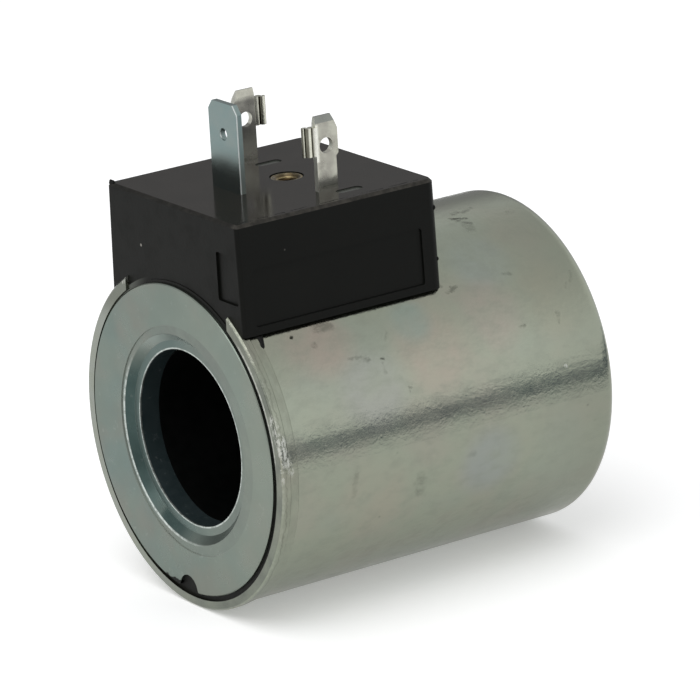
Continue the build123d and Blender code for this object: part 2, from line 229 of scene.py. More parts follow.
class Shader(Nodes):
    """One node material, with the object's own coordinates in metres."""

    def __init__(self, name):
        self.material = bpy.data.materials.new(name)
        self.material.use_nodes = True
        super().__init__(self.material.node_tree)
        self.surface = self.tree.nodes["Principled BSDF"]
        self.place = self.add("TexCoord").outputs["Object"]
        self.x, self.y, self.z = self.axes(self.place)

    @cached_property
    def radius(self):
        """The distance from the bore's axis."""
        return self.length(self.x, self.z)

    @cached_property
    def angle(self):
        """The angle about the bore's axis, from the right side upwards, in radians."""
        return self.math("ARCTAN2", self.z, self.x)

    @cached_property
    def normal_axes(self):
        """The three parts of the surface's own direction."""
        return self.axes(self.add("NewGeometry").outputs["Normal"])

    @cached_property
    def wavy_place(self):
        """The coordinates with a small random waver, for marks drawn by hand."""
        reach = 0.9 * MM
        waver = self.noise_node(0.6 * MM, 3.0, 0.5, self.place).outputs["Color"]
        offset = self.vector("SUBTRACT", waver, (0.5, 0.5, 0.5))
        offset = self.vector("MULTIPLY", offset, (reach, reach, reach))
        return self.vector("ADD", self.place, offset)

    def facing(self, axis):
        """How far the surface faces along one axis, whichever way, 0 to 1."""
        return self.math("ABSOLUTE", self.normal_axes[axis])

    def stretched(self, x_scale, y_scale, z_scale, shift=(0, 0, 0)):
        """The coordinates with each axis scaled, for streaks and patches."""
        node = self.add("Mapping")
        node.inputs["Scale"].default_value = (x_scale, y_scale, z_scale)
        node.inputs["Location"].default_value = shift
        self.link(self.place, node.inputs["Vector"])
        return node.outputs[0]

    def noise_node(self, size, detail, roughness, vector):
        """A noise texture whose blotches are about as large as size in metres."""
        node = self.add("TexNoise")
        node.inputs["Scale"].default_value = 1 / size
        node.inputs["Detail"].default_value = detail
        node.inputs["Roughness"].default_value = roughness
        self.link(vector, node.inputs["Vector"])
        return node

    def noise(self, size, detail, roughness, vector=None):
        """Soft noise, 0 to 1."""
        return self.noise_node(size, detail, roughness, vector or self.place).outputs["Fac"]

    def ragged(self, size, detail, roughness, reach):
        """A random shift of up to half of reach either way, for ragged edges."""
        return self.times(self.minus(self.noise(size, detail, roughness), 0.5), reach)

    def cells(self, size, vector=None):
        """The distance to the nearest of many scattered points, size metres apart."""
        node = self.add("TexVoronoi")
        node.inputs["Scale"].default_value = 1 / size
        self.link(vector or self.place, node.inputs["Vector"])
        return node.outputs["Distance"]

    def near(self, place, size):
        """1 at a place and 0 from size metres away."""
        return self.step(self.vector("DISTANCE", self.place, place), size * 0.4, size, 1.0, 0.0)

    def stroke(self, start, end, width):
        """1 along the wavering line between two places and 0 from about width metres beside it."""
        start = Vector(start)
        run = Vector(end) - start
        along = self.vector("SUBTRACT", self.wavy_place, start)
        share = self.vector("DOT_PRODUCT", along, run / run.length_squared)
        share = self.math("MINIMUM", self.most(share, 0.0), 1.0)
        scaled = self.add("VectorMath")
        scaled.operation = "SCALE"
        scaled.inputs[0].default_value = run
        self.link(share, scaled.inputs["Scale"])
        away = self.vector("DISTANCE", along, scaled.outputs[0])
        return self.step(away, width * 0.3, width * 1.15, 1.0, 0.0)

    def bump(self, height, distance):
        """A relief whose height is in units of distance, in metres."""
        node = self.add("Bump")
        node.inputs["Distance"].default_value = distance
        self.link(height, node.inputs["Height"])
        return node.outputs["Normal"]

    def finish(self, colour, roughness, normal, metallic=0.0, specular=0.5):
        """Sets the surface's own sockets."""
        self.link(colour, self.surface.inputs["Base Color"])
        self.link(roughness, self.surface.inputs["Roughness"])
        self.link(metallic, self.surface.inputs["Metallic"])
        self.surface.inputs["Specular IOR Level"].default_value = specular
        self.link(normal, self.surface.inputs["Normal"])
        return self.material


def on_can(y, degrees, lift=0.0):
    """A point on the can's round wall: y metres along it, so many degrees above the right side."""
    angle = math.radians(degrees)
    radius = can_r + lift
    return (radius * math.cos(angle), y, radius * math.sin(angle))


def on_wall(y_start, start_degrees, y_end, end_degrees, width, strength):
    """One stroke on the can's wall, from and to places in millimetres and degrees."""
    return (on_can(y_start * MM, start_degrees), on_can(y_end * MM, end_degrees), width * MM, strength)


# Dark strokes on the can: where each starts and ends, how wide and how strong it is
STROKES = (
    on_wall(14.0, 78.8, 15.8, 76.8, 0.34, 0.95),
    on_wall(15.1, 82.0, 15.9, 82.2, 0.5, 0.5),
    on_wall(14.3, 77.5, 15.6, 73.2, 0.42, 0.55),
    on_wall(16.6, 81.1, 18.3, 83.1, 0.42, 0.4),
    on_wall(14.9, 72.9, 14.9, 70.5, 0.9, 0.28),
    on_wall(-15.4, 45.7, -13.4, 45.2, 0.8, 0.36),
    on_wall(-19.2, 44.9, -19.15, 44.9, 0.32, 0.95),
    on_wall(-16.9, 40.0, -16.6, 40.1, 0.45, 0.35),
    on_wall(-12.7, 32.6, -12.1, 32.5, 0.32, 0.32),
    on_wall(-11.7, 32.3, -11.1, 32.2, 0.32, 0.28),
    on_wall(-10.7, 31.5, -10.2, 30.9, 0.42, 0.32),
    on_wall(-8.1, 30.0, -8.0, 30.1, 0.3, 0.75),
    on_wall(-8.3, 28.6, -8.3, 25.1, 0.26, 0.2),
    on_wall(-5.5, 18.7, -5.5, 17.6, 0.26, 0.42),
    on_wall(-5.5, 17.6, -5.2, 18.6, 0.26, 0.38),
    on_wall(-6.1, 38.3, -6.7, 35.8, 0.26, 0.16),
    on_wall(23.9, 42.4, 23.3, 39.4, 0.32, 0.32),
    on_wall(22.5, 39.0, 22.2, 37.6, 0.32, 0.22),
    on_wall(22.0, 74.0, 22.4, 74.3, 0.65, 0.24),
    on_wall(5.0, 46.1, 6.8, 47.8, 0.32, 0.42),
    on_wall(5.9, 48.0, 6.1, 46.3, 0.26, 0.32),
    on_wall(3.4, 48.6, 4.6, 49.4, 0.4, 0.3),
    on_wall(14.3, 48.0, 15.3, 47.5, 0.32, 0.28),
    on_wall(13.3, 28.5, 13.8, 28.6, 0.38, 0.38),
    on_wall(19.5, 30.0, 19.1, 26.7, 0.32, 0.38),
    on_wall(-5.0, -12.3, -4.8, -18.6, 0.9, 0.2),
    on_wall(-5.6, -14.5, -4.4, -13.5, 0.6, 0.15),
    on_wall(-14.9, -4.7, -15.2, -8.5, 0.5, 0.18),
    on_wall(-15.2, -8.5, -15.3, -13.1, 0.5, 0.14),
    on_wall(2.7, -9.6, 3.3, -9.7, 0.55, 0.16),
)

# Bright chips on the can, in the same way; the last two, at the left horn's tip and low on the right of
# the wall, are painted glints
BRIGHT_STROKES = (
    on_wall(-26.3, 20.0, -25.9, 11.0, 0.6, 0.9),
    on_wall(-25.8, 13.0, -25.4, 5.0, 0.8, 1.0),
    on_wall(-25.2, 7.0, -25.0, 1.5, 0.6, 0.7),
    on_wall(-26.4, 121.9, -26.2, 120.6, 0.6, 1.0),
    on_wall(18.6, 11.9, 18.7, 11.7, 0.3, 0.9),
)

# Passivation tints on the can: place, reach and colour
TINTS = (
    (on_can(-16.0 * MM, 41), 6.5 * MM, srgb(172, 160, 149)),
    (on_can(-0.5 * MM, 30), 7.5 * MM, srgb(172, 161, 149)),
    (on_can(-2.0 * MM, 40), 4.0 * MM, srgb(148, 164, 154)),
    (on_can(-10.5 * MM, 21), 6.5 * MM, srgb(160, 163, 156)),
    (on_can(12.0 * MM, 55), 6.0 * MM, srgb(157, 166, 158)),
    (on_can(10.0 * MM, 35), 6.0 * MM, srgb(170, 162, 152)),
    (on_can(20.0 * MM, 36), 7.0 * MM, srgb(161, 162, 145)),
    (on_can(6.0 * MM, -14), 6.0 * MM, srgb(156, 162, 158)),
    (on_can(-12.0 * MM, -16), 7.0 * MM, srgb(166, 164, 149)),
)

# Light specks on the head: place, reach and strength
SPECKS = (
    ((-7.55 * MM, head_front, 24.14 * MM), 0.26 * MM, 0.6),
    ((head_half_width + 0.15 * MM, front_y + 7.45 * MM, 26.66 * MM), 0.16 * MM, 0.12),
)


def can_clouds(s):
    """The can's grey-green ground with slow clouds, and patches of other passivation tints."""
    clouds = s.noise(7 * MM, 3.0, 0.5, s.stretched(1, 0.8, 1))
    drift = s.noise(11 * MM, 2.0, 0.5, s.stretched(1, 0.7, 1, (0.031, 0.017, 0.005)))
    colour = s.mix(s.step(clouds, 0.38, 0.68), srgb(159, 165, 149), srgb(162, 163, 149))
    colour = s.mix(s.step(drift, 0.45, 0.72, 0.0, 0.7), colour, srgb(155, 163, 150))
    for place, reach, tint in TINTS:
        soft_spot = s.times(s.near(place, reach), s.step(clouds, 0.3, 0.6, 0.35, 0.8))
        colour = s.mix(soft_spot, colour, tint)
    return colour


def can_pits(s):
    """Small dark pits, sparse over the whole wall."""
    pits = s.step(s.cells(3.4 * MM, s.stretched(1, 0.7, 1)), 0.02, 0.07, 1.0, 0.0)
    return s.times(pits, s.step(s.noise(6 * MM, 1.0, 0.5), 0.55, 0.61))


def can_rubs(s):
    """Dark rubs and scratches where the part has been handled."""
    grain = s.noise(0.5 * MM, 4.0, 0.7, s.stretched(1, 0.35, 1))
    rubs = 0.0
    for start, end, width, darkness in STROKES:
        line = s.times(s.stroke(start, end, width), s.step(grain, 0.36, 0.56, 0.25, 1.0))
        rubs = s.most(rubs, s.times(line, darkness))
    return rubs


def can_bands(s, colour, from_front):
    """Painted shade on the swaged bands, with a seam, a darker rim face and slot corners, and a fade to
    the rear.
    """
    # Painted shade: the swaged bands are darkened in blotches, less so low down
    swaged = s.band(from_front, 0.3 * MM, swage_band_end, 0.12 * MM)
    tone = s.noise(1.5 * MM, 3.0, 0.6, s.stretched(0.5, 1, 0.5))
    less_below = s.step(s.z, -12 * MM, -3 * MM, 0.2, 1.0)
    band_share = s.times(s.step(tone, 0.3, 0.7, 0.1, 0.45), less_below)
    colour = s.mix(s.times(swaged, band_share), colour, srgb(126, 129, 116))

    ragged = s.ragged(1.1 * MM, 4.0, 0.6, 1.1 * MM)
    seam = s.band(s.plus(from_front, ragged), 0.62 * MM, 0.74 * MM, 0.07 * MM)
    seam = s.times(seam, s.band(s.angle, -1.25, 0.9, 0.2))
    colour = s.mix(s.times(seam, 0.4), colour, srgb(84, 87, 76))

    rim_face = s.times(s.step(from_front, 0.04 * MM, 0.1 * MM, 1.0, 0.0),
                       s.step(tone, 0.3, 0.7, 0.45, 1.0))
    rim_tone = s.mix(s.step(s.x, -20 * MM, 12 * MM), srgb(162, 167, 160), srgb(122, 127, 118))
    colour = s.mix(rim_face, colour, rim_tone)

    slot_corners = s.times(s.step(s.z, 12 * MM, 16 * MM),
                           s.step(from_front, 0.6 * MM, 1.6 * MM, 0.75, 0.0),
                           s.step(s.x, -2 * MM, 2 * MM, 1.0, 0.45))
    colour = s.mix(slot_corners, colour, srgb(116, 120, 110))
    return s.mix(s.step(s.y, 10 * MM, rear_y, 0.0, 0.6), colour, srgb(143, 148, 134))


def can_wear_and_highlights(s, from_front):
    """Partly rubbed wear and partly painted highlights: the rim's outer edge low on the right, its inner
    edge higher up, and chips.
    """
    rubbed = s.step(s.noise(0.7 * MM, 4.0, 0.7), 0.46, 0.58)
    outside = s.times(s.band(from_front, 0.02 * MM, 0.4 * MM, 0.08 * MM),
                      s.step(s.radius, rim_r - 0.4 * MM, rim_r - 0.2 * MM))
    outer_side = s.most(s.band(s.angle, 0.0, 0.34, 0.1), s.step(s.x, -18 * MM, -12 * MM, 0.55, 0.12))
    inside = s.times(s.band(s.radius, rim_inner_r - 0.05 * MM, rim_inner_r + 0.3 * MM, 0.06 * MM),
                     s.band(s.angle, 0.1, 0.82, 0.08),
                     s.step(from_front, 0.25 * MM, 0.35 * MM, 1.0, 0.0))
    worn_and_glinting = s.most(s.times(outside, outer_side, rubbed), s.times(inside, s.most(rubbed, 0.5)))
    flecks = s.noise(0.4 * MM, 4.0, 0.7, s.stretched(1.3, 1.3, 0.45))
    for start, end, width, brightness in BRIGHT_STROKES:
        chip_and_glint = s.times(s.stroke(start, end, width), s.step(flecks, 0.44, 0.56, 0.0, brightness))
        worn_and_glinting = s.most(worn_and_glinting, chip_and_glint)
    return worn_and_glinting


def passivated_can():
    """Drawn, zinc-plated and passivated steel: grey-green with faint rainbow clouds and scuffs, painted
    shade on the swaged bands and painted highlights on the rim.
    """
    s = Shader("zinc_can")
    from_front = s.minus(s.y, front_y)
    mottle = s.noise(1.6 * MM, 4.0, 0.65, s.stretched(1, 0.6, 1))
    pits = can_pits(s)
    rubs = can_rubs(s)
    worn_and_glinting = can_wear_and_highlights(s, from_front)
    colour = can_clouds(s)
    colour = s.mix(s.step(mottle, 0.42, 0.72, 0.0, 0.3), colour, srgb(140, 145, 133))
    colour = s.mix(s.times(pits, 0.55), colour, srgb(78, 80, 70))
    colour = s.mix(rubs, colour, srgb(40, 42, 36))
    colour = can_bands(s, colour, from_front)
    # Painted highlights, partly real rubbed wear, lighten the rim's edges and the chips
    colour = s.mix(s.times(worn_and_glinting, 0.85), colour, srgb(226, 228, 220))

    # Fine pebbling of the plated surface, and faint draw marks along the can
    pebble = s.noise(0.55 * MM, 4.0, 0.6)
    ripple = s.noise(2.2 * MM, 2.0, 0.5, s.stretched(1, 0.4, 1))
    draw = s.noise(0.5 * MM, 2.0, 0.5, s.stretched(1, 0.03, 1))
    height = s.plus(s.times(pebble, 1.1), s.times(ripple, 0.7), s.times(draw, 0.1))
    normal = s.bump(s.minus(height, s.times(pits, 0.5)), 0.03 * MM)
    roughness = s.plus(s.step(mottle, 0.25, 0.75, 0.16, 0.25), s.times(rubs, 0.25), s.times(worn_and_glinting, 0.2))
    return s.finish(colour, roughness, normal, metallic=1.0)


def plate_ring(s, colour, ring, ring_radius, depth):
    """The machined ring round the seal is greyer, and its step wall is painted pale, painted light
    against the step's shade.
    """
    share = s.times(s.step(s.x, -13 * MM, 0.0, 0.3, 1.0), s.step(s.x, 8 * MM, 15 * MM, 1.0, 0.45),
                    s.step(s.z, -13 * MM, -6 * MM, 0.4, 1.0),
                    s.step(s.noise(1.6 * MM, 4.0, 0.6), 0.36, 0.56, 0.55, 1.0), 0.85)
    colour = s.mix(s.times(ring, share), colour, srgb(129, 136, 130))
    ring_edge = s.band(ring_radius, spot_face_r - 0.06 * MM, spot_face_r + 0.06 * MM, 0.02 * MM)
    # Painted light: the step wall is lightened and made less metallic so that it shows no shade line
    step_wall = s.times(ring_edge, s.step(depth, 0.005 * MM, 0.015 * MM))
    return s.mix(step_wall, colour, srgb(150, 156, 148)), step_wall


def plate_cone_tones(s, colour, depth):
    """The seal cone and its flat are darker, deepest on the left and low down, and paler at the top."""
    cone_tone = s.mix(s.noise(2.4 * MM, 4.0, 0.6), srgb(52, 70, 69), srgb(86, 106, 103))
    in_cone = s.times(s.band(s.radius, seal_cone_inner_r, seal_cone_outer_r, 0.05 * MM),
                      s.step(depth, spot_face_depth + 0.02 * MM, spot_face_depth + 0.12 * MM))
    left_dark = s.times(s.step(s.x, -11.5 * MM, -3 * MM, 0.95, 0.3),
                        s.step(s.z, 5 * MM, 12 * MM, 1.0, 0.15))
    low_dark = s.times(s.step(s.z, -11.6 * MM, -8 * MM, 0.95, 0.0), s.step(s.x, -8.5 * MM, -6 * MM),
                       s.step(s.x, -4 * MM, 1.5 * MM, 1.0, 0.25))
    colour = s.mix(s.times(in_cone, s.most(left_dark, low_dark)), colour, cone_tone)
    pale_top = s.times(in_cone, s.step(s.z, 9 * MM, 13 * MM, 0.0, 0.8))
    colour = s.mix(pale_top, colour, srgb(164, 176, 170))
    on_flat = s.times(s.band(s.radius, steel_bore_r + 0.18 * MM, seal_cone_inner_r, 0.05 * MM),
                      s.step(depth, seal_seat_depth - 0.2 * MM, seal_seat_depth - 0.1 * MM))
    return s.mix(s.times(on_flat, s.step(s.x, -4 * MM, 4 * MM, 0.75, 0.15)), colour, srgb(98, 118, 116))


def plate_edges(s):
    """Painted highlights along the edges, broken in places: round the bore, and at the cone's mouth on
    the lower left.
    """
    bore_edge = s.band(s.radius, steel_bore_r - 0.02 * MM, steel_bore_r + 0.18 * MM, 0.05 * MM)
    mouth_edge = s.band(s.radius, seal_cone_outer_r - 0.08 * MM, seal_cone_outer_r + 0.2 * MM, 0.04 * MM)
    mouth_side = s.step(s.plus(s.x, s.times(s.z, 0.6)), -13 * MM, -4 * MM, 1.0, 0.0)
    line_breaks = s.step(s.noise(0.9 * MM, 4.0, 0.7), 0.4, 0.55, 0.35, 1.0)
    return s.times(s.most(bore_edge, s.times(mouth_edge, mouth_side)), line_breaks)


def plate_smear(s):
    """A thin smear of moulding residue runs left from the notch, along the plate's lower edge."""
    ragged_radius = s.plus(s.radius, s.ragged(0.9 * MM, 4.0, 0.7, 0.9 * MM))
    smear_inner = s.step(s.angle, smear_start, smear_end, 20.3 * MM, 19.75 * MM)
    return s.times(s.step(s.minus(ragged_radius, smear_inner), 0.0, 0.12 * MM),
                   s.band(s.angle, smear_start, smear_end, 0.01))


def passivated_plate():
    """The front washer: bluer zinc, a duller machined ring off centre, a dark seal cone, painted
    highlights on its edges and a painted pale step.
    """
    s = Shader("zinc_plate")
    depth = s.minus(s.y, front_y)
    ring_radius = s.length(s.minus(s.x, spot_face_x), s.z)
    ring = s.step(ring_radius, spot_face_r - 0.1 * MM, spot_face_r + 0.05 * MM, 1.0, 0.0)
    clouds = s.noise(6 * MM, 3.0, 0.5)
    drift = s.noise(9 * MM, 2.0, 0.5, s.stretched(1, 1, 1, (0.02, 0, 0.013)))
    colour = s.mix(s.step(clouds, 0.38, 0.7), srgb(134, 146, 138), srgb(140, 144, 136))
    colour = s.mix(s.step(drift, 0.45, 0.75, 0.0, 0.7), colour, srgb(124, 142, 138))
    colour = s.mix(s.step(s.x, -8 * MM, 19 * MM, 0.0, 0.6), colour, srgb(152, 160, 148))
    colour, step_wall = plate_ring(s, colour, ring, ring_radius, depth)
    colour = plate_cone_tones(s, colour, depth)
    bright = plate_edges(s)
    # Painted highlights round the bore and at the cone's mouth
    colour = s.mix(s.times(bright, 0.95), colour, srgb(232, 240, 236))
    bore_wall = s.times(s.step(depth, seal_seat_depth + 0.05 * MM, seal_seat_depth + 0.25 * MM),
                        s.step(s.radius, steel_bore_r + 0.6 * MM, steel_bore_r + 0.8 * MM, 1.0, 0.0))
    colour = s.mix(bore_wall, colour, srgb(42, 54, 56))
    colour = s.mix(plate_smear(s), colour, srgb(24, 26, 24))
    scuff = s.step(s.noise(1.3 * MM, 5.0, 0.7), 0.6, 0.72)
    colour = s.mix(s.times(scuff, 0.16), colour, srgb(196, 202, 196))

    # Fine marks all over, and turning marks on the ring
    marks = s.noise(0.35 * MM, 3.0, 0.6)
    turning = s.times(s.ridges(ring_radius, 0.16 * MM), ring, 0.12)
    normal = s.bump(s.plus(s.times(marks, 0.5), turning), 0.012 * MM)
    roughness = s.plus(s.step(s.noise(4 * MM, 3.0, 0.55), 0.3, 0.7, 0.26, 0.36), s.times(bright, 0.25))
    metallic = s.minus(1.0, s.times(s.most(bore_wall, step_wall), 0.75))
    return s.finish(colour, roughness, normal, metallic=metallic)


def head_dust(s, colour):
    """Fine dust all over the moulding, and two larger specks."""
    dust = s.times(s.step(s.cells(3.1 * MM), 0.012, 0.035, 1.0, 0.0),
                   s.step(s.noise(5 * MM, 1.0, 0.5), 0.58, 0.63))
    colour = s.mix(s.times(dust, 0.25), colour, srgb(110, 108, 102))
    for place, reach, strength in SPECKS:
        colour = s.mix(s.times(s.near(place, reach), strength), colour, srgb(188, 184, 176))
    return colour


def head_edges(s, colour, top):
    """The broken edge round the head's top is painted grey, partly rubbed wear and partly painted
    highlight, with a ragged line beside it on the right.
    """
    edge_wear_and_sheen = s.noise(1.1 * MM, 4.0, 0.65)
    bevel = s.times(s.band(s.facing(Z_AXIS), 0.3, 0.86, 0.06),
                    s.step(s.z, head_top - 0.5 * MM, head_top - 0.44 * MM),
                    s.step(s.x, 13 * MM, 14 * MM, 0.35, 1.0),
                    s.step(edge_wear_and_sheen, 0.3, 0.7, 0.3, 1.0))
    # Partly wear and partly painted highlight along the top edge's bevel
    colour = s.mix(s.times(bevel, 0.7), colour, srgb(74, 71, 66))
    line_x = s.plus(s.x, s.times(s.minus(edge_wear_and_sheen, 0.5), 0.5 * MM))
    line = s.times(s.band(line_x, head_half_width - 1.02 * MM, head_half_width - 0.86 * MM, 0.04 * MM),
                   top, s.step(s.noise(1.7 * MM, 3.0, 0.6), 0.42, 0.5))
    return s.mix(line, colour, srgb(6, 6, 6)), line


def head_pads(s, colour):
    """The two sunken oval pads carry a painted sheen, paler than the skin round them, and their walls are
    darker.
    """
    reach = 3.6 * MM
    on_wall_share = s.step(s.z, pad_floor + 0.04 * MM, pad_floor + 0.08 * MM)
    tone = s.mix(on_wall_share, srgb(70, 73, 68), srgb(30, 30, 28))
    sunken = s.step(s.z, head_top - 0.02 * MM, head_top - 0.005 * MM, 1.0, 0.0)
    for x in (contact_x, -contact_x):
        pad = s.near((x + pad_right, screw_y + pad_back, pad_floor + 0.05 * MM), reach)
        # Painted sheen on the pads' floors
        colour = s.mix(s.times(pad, sunken, 0.9), colour, tone)
    return colour


def moulded_plastic():
    """Black glass-filled plastic: satin sides, a glossier top, dust specks and dull flash."""
    s = Shader("black_plastic")
    top = s.times(s.step(s.facing(Z_AXIS), 0.9, 0.98),
                  s.step(s.z, head_top - 1.0 * MM, head_top - 0.5 * MM))
    clouds = s.noise(5 * MM, 3.0, 0.55)
    side_tone = s.mix(clouds, srgb(13, 14, 12), srgb(18, 19, 16))
    top_tone = s.mix(clouds, srgb(20, 17, 13), srgb(31, 27, 22))
    colour = head_dust(s, s.mix(top, side_tone, top_tone))
    colour, line = head_edges(s, colour, top)
    colour = head_pads(s, colour)

    # The ring of moulding beside the plate on the left is greyed
    greyed_ring = s.times(s.band(s.radius, moulding_ring_inner_r, moulding_ring_outer_r, 0.05 * MM),
                    s.step(s.y, front_y + 0.5 * MM, front_y + 0.6 * MM, 1.0, 0.0),
                    s.step(s.x, -16 * MM, -6 * MM, 0.95, 0.0))
    colour = s.mix(greyed_ring, colour, srgb(158, 162, 154))
    skin = s.times(s.noise(0.45 * MM, 3.0, 0.6), s.step(top, 0.0, 1.0, 0.5, 0.08))
    waves = s.noise(5 * MM, 2.0, 0.5)
    normal = s.bump(s.plus(skin, s.times(waves, 0.8)), 0.02 * MM)
    smudges = s.step(s.noise(2.5 * MM, 4.0, 0.6), 0.4, 0.75, 0.0, 0.08)
    roughness = s.plus(s.step(top, 0.0, 1.0, 0.4, 0.12), smudges, s.times(line, 0.7))
    return s.finish(colour, roughness, normal, specular=0.12)


def bright_tin():
    """Tinned contact strip: bright and warm, softly brushed, a little rubbed, with painted highlights and
    shade on its wings, edges and one tip.
    """
    s = Shader("tinned_contact")
    clouds = s.noise(2.2 * MM, 3.0, 0.55)
    on_right = s.step(s.x, -1 * MM, 1 * MM)
    on_left = s.minus(1.0, on_right)
    colour = s.mix(s.step(clouds, 0.35, 0.7), srgb(190, 190, 178), srgb(172, 170, 160))
    rubbed = s.step(s.noise(0.8 * MM, 5.0, 0.7), 0.56, 0.7)
    colour = s.mix(s.times(rubbed, 0.4), colour, srgb(136, 134, 122))

    # The left contact is tarnished below its tip, and the right one's bent tip facet has painted shade
    tarnish = s.times(on_left, s.step(s.z, contact_top - 1.6 * MM, contact_top - 0.9 * MM, 1.0, 0.0),
                      s.step(s.z, contact_top - 8 * MM, contact_top - 4.5 * MM),
                      s.step(clouds, 0.3, 0.7, 0.75, 1.0),
                      s.step(s.y, left_wing_y - 0.2 * MM, left_wing_y + 0.1 * MM, 1.0, 0.15))
    colour = s.mix(tarnish, colour, srgb(124, 123, 117))
    tip = s.times(on_right, s.step(s.z, contact_top - 0.92 * MM, contact_top - 0.86 * MM))
    colour = s.mix(s.times(tip, 0.85), colour, srgb(128, 132, 128))

    # Painted light on the corrugated wings: painted highlights on the crests and painted shade on the
    # flanks
    right_wing = s.times(on_right, s.step(s.y, roll_edge_y - 0.3 * MM, roll_edge_y - 0.15 * MM, 1.0, 0.0))
    left_wing = s.times(on_left, s.step(s.y, left_wing_y + 0.15 * MM, left_wing_y + 0.3 * MM))
    wing = s.times(s.most(right_wing, left_wing), s.band(s.z, wing_low, wing_high, 0.1 * MM))
    flank = s.step(s.facing(Y_AXIS), 0.3, 0.65)
    colour = s.mix(s.times(s.times(wing, s.minus(1.0, flank)), 0.75), colour, srgb(242, 242, 226))
    colour = s.mix(s.times(wing, flank, 0.75), colour, srgb(92, 90, 76))

    # Painted highlights on the rolled front edge of the right contact and on all the sheared edges
    rolled = s.times(s.band(s.y, roll_edge_y - 0.1 * MM, roll_edge_y + 0.62 * MM, 0.2 * MM),
                     s.band(s.z, wing_low, wing_high - 0.05 * MM, 0.15 * MM), on_right)
    sheared = s.times(s.step(s.facing(Y_AXIS), 0.6, 0.85), s.minus(1.0, wing))
    colour = s.mix(s.times(s.most(rolled, sheared), 0.97), colour, srgb(246, 246, 236))
    brush = s.noise(0.22 * MM, 2.0, 0.5, s.stretched(1, 1, 0.08))
    pebble = s.noise(0.7 * MM, 3.0, 0.5)
    normal = s.bump(s.plus(s.times(brush, 0.4), pebble), 0.01 * MM)
    roughness = s.plus(s.step(clouds, 0.3, 0.7, 0.16, 0.28), s.times(sheared, 0.3))
    return s.finish(colour, roughness, normal, metallic=1.0)


def blue_zinc_strip():
    """The earth strip: smooth bluish zinc, with painted highlights along the front of its sheared edges.
    """
    s = Shader("zinc_earth")
    clouds = s.noise(3.5 * MM, 3.0, 0.5)
    colour = s.mix(s.step(clouds, 0.35, 0.7), srgb(134, 154, 154), srgb(144, 158, 156))
    foot = s.step(s.z, head_top + 3 * MM, head_top + 7 * MM, 0.5, 0.0)
    colour = s.mix(foot, colour, srgb(142, 150, 145))
    rubbed = s.step(s.noise(0.9 * MM, 5.0, 0.7), 0.62, 0.74)
    colour = s.mix(s.times(rubbed, 0.3), colour, srgb(112, 124, 124))
    sheared = s.step(s.facing(X_AXIS), 0.6, 0.85)
    low_part = s.step(s.z, head_top, head_top + 6 * MM, 1.0, 0.0)
    colour = s.mix(s.times(sheared, low_part), colour, srgb(128, 136, 132))
    # Painted highlight along the front corner of the sheared edges
    corner = s.times(s.step(s.y, earth_front_y + 0.08 * MM, earth_front_y + 0.22 * MM, 1.0, 0.0),
                     sheared, s.step(rubbed, 0.0, 1.0, 1.0, 0.6))
    colour = s.mix(s.times(corner, 0.95), colour, srgb(244, 248, 246))
    rolled = s.noise(0.3 * MM, 2.0, 0.5, s.stretched(1, 1, 0.06))
    waves = s.noise(3 * MM, 1.5, 0.5)
    normal = s.bump(s.plus(s.times(rolled, 0.02), s.times(waves, 0.5)), 0.01 * MM)
    roughness = s.plus(s.step(s.noise(2 * MM, 3.0, 0.5), 0.3, 0.7, 0.2, 0.225), s.times(sheared, 0.32))
    return s.finish(colour, roughness, normal, metallic=1.0)


def turned_brass():
    """Brass insert: turned, darker towards the bottom of its hole."""
    s = Shader("insert_brass")
    clouds = s.noise(0.9 * MM, 3.0, 0.6)
    colour = s.mix(s.step(clouds, 0.3, 0.7), srgb(112, 104, 84), srgb(86, 74, 52))
    mouth = s.step(s.z, insert_top - 0.14 * MM, insert_top - 0.04 * MM, 1.0, 0.0)
    colour = s.mix(s.times(mouth, 0.75), colour, srgb(78, 67, 50))
    low = s.step(s.z, insert_top - 0.6 * MM, insert_top - 0.25 * MM, 1.0, 0.0)
    colour = s.mix(s.times(low, 0.9), colour, srgb(46, 34, 18))

    # Its outer edge and the edge of its hole are rubbed bright
    from_screw = s.length(s.minus(s.x, screw_x), s.minus(s.y, screw_y))
    outer_edge = s.step(from_screw, insert_r - 0.26 * MM, insert_r - 0.18 * MM)
    hole_edge = s.band(from_screw, thread_core_r + 0.02 * MM, thread_core_r + 0.16 * MM, 0.03 * MM)
    edges = s.times(s.most(outer_edge, hole_edge),
                    s.step(s.z, insert_top - 0.7 * MM, insert_top - 0.5 * MM),
                    s.step(clouds, 0.35, 0.6, 0.3, 0.9))
    colour = s.mix(edges, colour, srgb(160, 145, 108))
    turning = s.times(s.ridges(from_screw, 0.24 * MM), 0.5)
    normal = s.bump(s.plus(s.noise(0.25 * MM, 2.0, 0.5), turning), 0.012 * MM)
    return s.finish(colour, s.step(clouds, 0.3, 0.7, 0.22, 0.34), normal, metallic=1.0)


def plain_moulding(name, dark, light, specular=0.5):
    """Dull moulded plastic of the inner parts."""
    s = Shader(name)
    grain = s.noise(1.2 * MM, 4.0, 0.6)
    normal = s.bump(s.noise(0.4 * MM, 3.0, 0.55), 0.015 * MM)
    roughness = s.step(grain, 0.3, 0.7, 0.42, 0.56)
    return s.finish(s.mix(grain, dark, light), roughness, normal, specular=specular)


def wound_copper():
    """Enamelled copper, with the turns as fine ridges along the bore."""
    s = Shader("copper_wire")
    wire_pitch = 0.5 * MM
    tone = s.noise(1.8 * MM, 3.0, 0.5)
    colour = s.mix(tone, srgb(176, 92, 48), srgb(206, 120, 66))
    normal = s.bump(s.ridges(s.y, wire_pitch), 0.05 * MM)
    return s.finish(colour, s.step(tone, 0.3, 0.7, 0.24, 0.36), normal, metallic=1.0)


